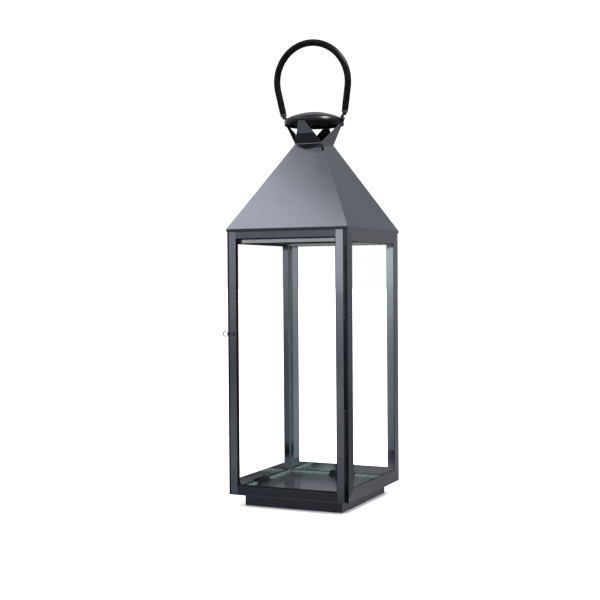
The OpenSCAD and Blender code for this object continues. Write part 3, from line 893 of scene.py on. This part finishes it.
def painted_shade_strip(low, high, thin, depth, width):
    """A black strip of painted shade run round an opening between two corners; thin is the wall's axis."""
    low, high = Vector(low), Vector(high)
    shade_strip = take("cube", size=1.0, location=(low + high) / 2)
    bpy.ops.mesh.select_all(action="SELECT")
    size = high - low
    size[thin] = depth
    bpy.ops.transform.resize(value=size)
    pick(lambda co, normal: abs(normal[thin]) > 0.9, "FACE")
    bpy.ops.mesh.inset(thickness=width, depth=0)
    bpy.ops.mesh.bridge_edge_loops()
    put_in_place(shade_strip)
    modify(
        shade_strip, "BEVEL", width=SHADE_STRIP_ROUNDING, segments=2,
        limit_method="ANGLE", angle_limit=math.radians(40),
    )
    return shade_strip


# ---- the studio ----

WHITE = 1.18
FILL = 2.6
BACK_START = (-0.25, 0.35)
TOP_START = (0.840, 0.876)
FRONT_SKY = [
    (0.000, grey(0.12, 0.08)), (0.067, grey(0.22, 0.08)), (0.250, grey(0.10, 0.14)),
    (0.395, grey(0.085, 0.16)), (0.409, grey(0.105, 0.14)), (0.423, grey(0.17, 0.10)),
    (0.449, grey(0.24, 0.08)), (0.464, grey(0.21, 0.08)), (0.476, grey(0.27, 0.08)),
    (0.490, grey(0.36, 0.06)), (0.500, grey(0.50, 0.05)), (0.518, grey(0.58, 0.05)),
    (0.552, grey(0.56, 0.05)), (0.604, grey(0.32, 0.06)), (0.800, grey(0.34, 0.06)),
    (0.880, grey(0.80, 0.06)), (0.910, grey(1.16, 0.06)), (1.000, grey(1.19, 0.06)),
]
TOP_SKY = [
    (0.00, grey(0.41, 0.05)), (0.93, grey(0.41, 0.05)), (0.96, grey(0.26, 0.05)), (1.00, grey(0.20, 0.05)),
]
BACK_SKY = [
    (0.000, grey(0.10, 0.08)), (0.250, grey(0.14, 0.08)), (0.405, grey(0.23, 0.06)),
    (0.440, grey(0.20, 0.08)), (0.475, grey(0.20, 0.08)), (0.515, grey(0.25, 0.08)),
    (0.600, grey(0.26, 0.08)), (0.675, grey(0.27, 0.10)), (0.787, grey(0.34, 0.08)),
    (0.933, grey(0.28, 0.05)), (1.000, grey(0.20, 0.05)),
]
FLOOR_SIZE = 60.0
FLOOR_LEVEL = -0.4 * MM


def lay_the_floor():
    put_down()
    bpy.ops.mesh.primitive_plane_add(size=FLOOR_SIZE, location=(0, 0, FLOOR_LEVEL))
    floor = bpy.context.object
    floor.name = "studio_floor"
    floor.visible_glossy = False
    floor.data.materials.append(finish("pale_floor", floor_paint, Roughness=0.9))


bpy.context.scene.view_settings.view_transform = "Standard"
place_camera()
light_the_studio()
add_lamp("right_softbox", place=(1.20, -0.25, 1.95), target=(0, 0, 0.50), size=(0.80, 0.60), watts=26.0)
lay_the_floor()

# ---- finishes ----

CHROME = plated("black_chrome", polished_sheet(0.34, 0.11, (0.04, 0.09), 0.03))
# The next three are graded with height: painted reflection.
LATCH_CHROME = plated("latch_chrome", stepped_sheet(0.52, 0.28, 0.13, foot=20 * MM, head=200 * MM))
HINGE_CHROME = plated("hinge_chrome", stepped_sheet(0.43, 0.55, 0.09, foot=279 * MM, head=293 * MM))
HEM_CHROME = plated("hem_chrome", hemmed_sheet(0.17, 0.28, 0.13, foot=150 * MM, head=190 * MM))
# The rear posts' chrome is a paler copy of the black chrome, a painted reflection; the next two, on the
# door's rails and the plinth, are darker copies, painted shade.
STILE_CHROME = plated("stile_chrome", polished_sheet(0.43, 0.09, waviness=0.06))
SHADED_CHROME = plated("painted_shade_chrome", polished_sheet(0.21, 0.18, (0.06, 0.12)))
HEAD_CHROME = plated("head_chrome", polished_sheet(0.17, 0.18, (0.06, 0.12)))
ROOF_CHROME = plated("roof_chrome", roof_sheet(0.34, 0.11))
RAIL_CHROME = finish("rail_chrome", inner_sheet(0.34, 0.32, 0.11))
CROWN_CHROME = plated("crown_chrome", crown_sheet)
BEDDED = finish("bedded_glass", bedded_glass)
# A paler copy of the plating where the side panes lie on the frame: painted reflection.
SIDE_BEDDED = plated("side_bedded_glass", polished_sheet(0.62, 0.07, waviness=0.06))
MIRROR = plated("floor_mirror", polished_sheet(0.42, 0.08, (0.14, 0.24)))
# The lintel's steel is a paler copy of the chrome: painted reflection.
LINTEL = plated("lintel_steel", polished_sheet(0.60, 0.05, (0.10, 0.20), 0.10))
# The hinge steel is very dark: painted shade in the gap at the door's hinged edge.
HINGE = plated("hinge_steel", turned_steel(0.09, 0.18, 0.34))
BRIGHT = plated("bright_steel", turned_steel(0.34, 0.12, 0.26))
ROD = plated("handle_steel", turned_steel(0.10, 0.22, 0.40))
CAP = finish("cap_black", enamel, Metallic=1.0, Coat_Weight=0.8, Coat_Roughness=0.14)
CLIP = finish("dark_clip", matt_black(0.006, 0.022), Specular_IOR_Level=0.35)
# The black for the strips of painted shade round the panes.
SHADE_BLACK = finish("painted_shade_black", matt_black(0.0015, 0.005), Specular_IOR_Level=0.15)
LEATHER = finish("black_leather", grained_leather, Specular_IOR_Level=0.30)
THREAD = finish("grip_binding", waxed_thread)
GLASS_EDGE = finish("glass_edge", green_edge)
SEALANT = finish("clear_sealant", sealant)
GLASS = clear_pane()
FINISH_OF_SLOT = {
    "black_chrome": CHROME, "floor_mirror": MIRROR, "lintel_steel": LINTEL, "cap_black": CAP,
    "clear_glass": GLASS, "clear_sealant": SEALANT, "dark_clip": CLIP, "hinge_steel": HINGE,
    "bright_steel": BRIGHT, "handle_steel": ROD, "grip_binding": THREAD, "black_leather": LEATHER,
}
FINISH_OF_NODE = {
    "door_top_rail": HEAD_CHROME, "door_bottom_rail": SHADED_CHROME, "plinth": SHADED_CHROME,
    "roof_front": ROOF_CHROME, "vent_crown": CROWN_CHROME, "latch_ring": HINGE,
    "top_rail_left": RAIL_CHROME, "top_rail_right": RAIL_CHROME, "top_rail_rear": RAIL_CHROME,
    "door_latch_stile": LATCH_CHROME, "door_hinge_stile": HINGE_CHROME,
    "post_front_left": HEM_CHROME, "post_front_right": HEM_CHROME,
    "post_rear_left": STILE_CHROME, "post_rear_right": STILE_CHROME,
}
FOLDED = ("black_chrome", "lintel_steel", "floor_mirror", "dark_clip")
WELD_GAP = 0.02 * MM
FOLD_ROUNDING = 0.18 * MM


def soften_edges(node):
    """Joins the sheet's loose triangles and rounds its sharp edges a little."""
    weld = node.modifiers.new("weld", "WELD")
    weld.merge_threshold = WELD_GAP
    edge = node.modifiers.new("soft_edges", "BEVEL")
    edge.width = FOLD_ROUNDING
    edge.segments = 2
    edge.limit_method = "ANGLE"
    edge.angle_limit = math.radians(30)


for entry in frame["record"]["subparts"]:
    node = nodes[entry["node"]]
    slot = entry["material_slot"]
    node.data.materials.clear()
    node.data.materials.append(FINISH_OF_NODE.get(entry["node"], FINISH_OF_SLOT[slot]))
    if slot in FOLDED:
        soften_edges(node)

# ---- the pieces ----

fit_up(spun_cap(), "spun_cap", "lantern_body", "cap_black", CAP, "chimney_cap")
fit_up(leather_grip(), "leather_grip", "handle", "black_leather", LEATHER, "handle_grip")
fit_up(thread_binding(), "thread_binding", "handle", "grip_binding", THREAD, "handle_ferrules")
fit_up(seam_stitches(), "seam_stitches", "handle", "grip_binding", THREAD)
for node, thin, body in (
    ("pane_left", 0, "lantern_body"), ("pane_right", 0, "lantern_body"),
    ("pane_rear", 1, "lantern_body"), ("door_pane", 1, "door"),
):
    pane = cut_pane(node, thin, body == "lantern_body")
    pane.name = "cut_" + node
    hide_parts(node)
    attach(pane, body)

# Black strips of painted shade round the door's glass and round each wall's window.
DOOR_LOW = Vector((-73.5, -92.2, 28.4)) * MM
DOOR_HIGH = Vector((70.0, -89.6, 356.1)) * MM
DOOR_SHADE_STRIP = (3.8 * MM, 1.2 * MM)
WALL_SHADE_STRIP = (0.5 * MM, 0.6 * MM)
fit_up(painted_shade_strip(DOOR_LOW, DOOR_HIGH, 1, *DOOR_SHADE_STRIP), "door_shade_strip", "door", "dark_clip", SHADE_BLACK)
for side, name in ((-1, "left_wall_shade_strip"), (1, "right_wall_shade_strip")):
    x = side * (HALF_X - SHEET / 2)
    shade_strip = painted_shade_strip((x, SIDE_WINDOW[0], FOOT_TOP), (x, SIDE_WINDOW[1], HEAD), 0, *WALL_SHADE_STRIP)
    fit_up(shade_strip, name, "lantern_body", "dark_clip", SHADE_BLACK)
y = HALF_Y - SHEET / 2
shade_strip = painted_shade_strip((REAR_WINDOW[0], y, FOOT_TOP), (REAR_WINDOW[1], y, HEAD), 1, *WALL_SHADE_STRIP)
fit_up(shade_strip, "rear_wall_shade_strip", "lantern_body", "dark_clip", SHADE_BLACK)
